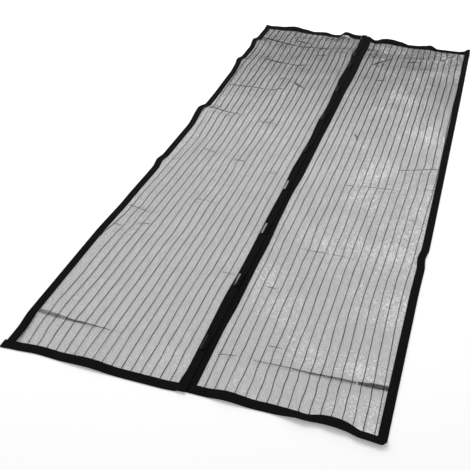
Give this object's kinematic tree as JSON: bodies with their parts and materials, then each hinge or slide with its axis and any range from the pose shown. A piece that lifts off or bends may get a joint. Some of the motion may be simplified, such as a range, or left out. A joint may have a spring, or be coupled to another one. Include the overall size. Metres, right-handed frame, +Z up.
{
  "type": "magnetic insect screen",
  "caption": "Soft insect screen for a doorway: two striped mesh panels bound in tape, lapped down the middle and held shut by bar magnets, laid out flat.",
  "frame": {"origin": "middle of the laid-out screen, on the floor that it lies on", "axes": "+X across the doorway from the left panel to the right panel, +Y from the bottom hem to the top hem, +Z up out of the floor"},
  "size_m": [0.9076, 2.1, 0.0229],
  "materials": {
    "mesh_cloth": "open woven mesh with thicker yarn stripes",
    "tape_cloth": "dense woven binding tape, matt",
    "magnet_black": "smooth black bars"
  },
  "bodies": {
    "root": {"left_mesh": "mesh_cloth", "left_side_binding": "tape_cloth", "left_seam_binding": "tape_cloth", "left_bottom_binding": "tape_cloth", "left_top_binding": "tape_cloth", "right_mesh": "mesh_cloth", "right_side_binding": "tape_cloth", "right_seam_binding": "tape_cloth", "right_bottom_binding": "tape_cloth", "right_top_binding": "tape_cloth", "left_magnet_1": "magnet_black", "left_magnet_2": "magnet_black", "left_magnet_3": "magnet_black", "left_magnet_4": "magnet_black", "left_magnet_5": "magnet_black", "left_magnet_6": "magnet_black", "left_magnet_7": "magnet_black", "left_magnet_8": "magnet_black", "left_magnet_9": "magnet_black", "right_magnet_1": "magnet_black", "right_magnet_2": "magnet_black", "right_magnet_3": "magnet_black", "right_magnet_4": "magnet_black", "right_magnet_5": "magnet_black", "right_magnet_6": "magnet_black", "right_magnet_7": "magnet_black", "right_magnet_8": "magnet_black", "right_magnet_9": "magnet_black"}
  },
  "joints": []
}
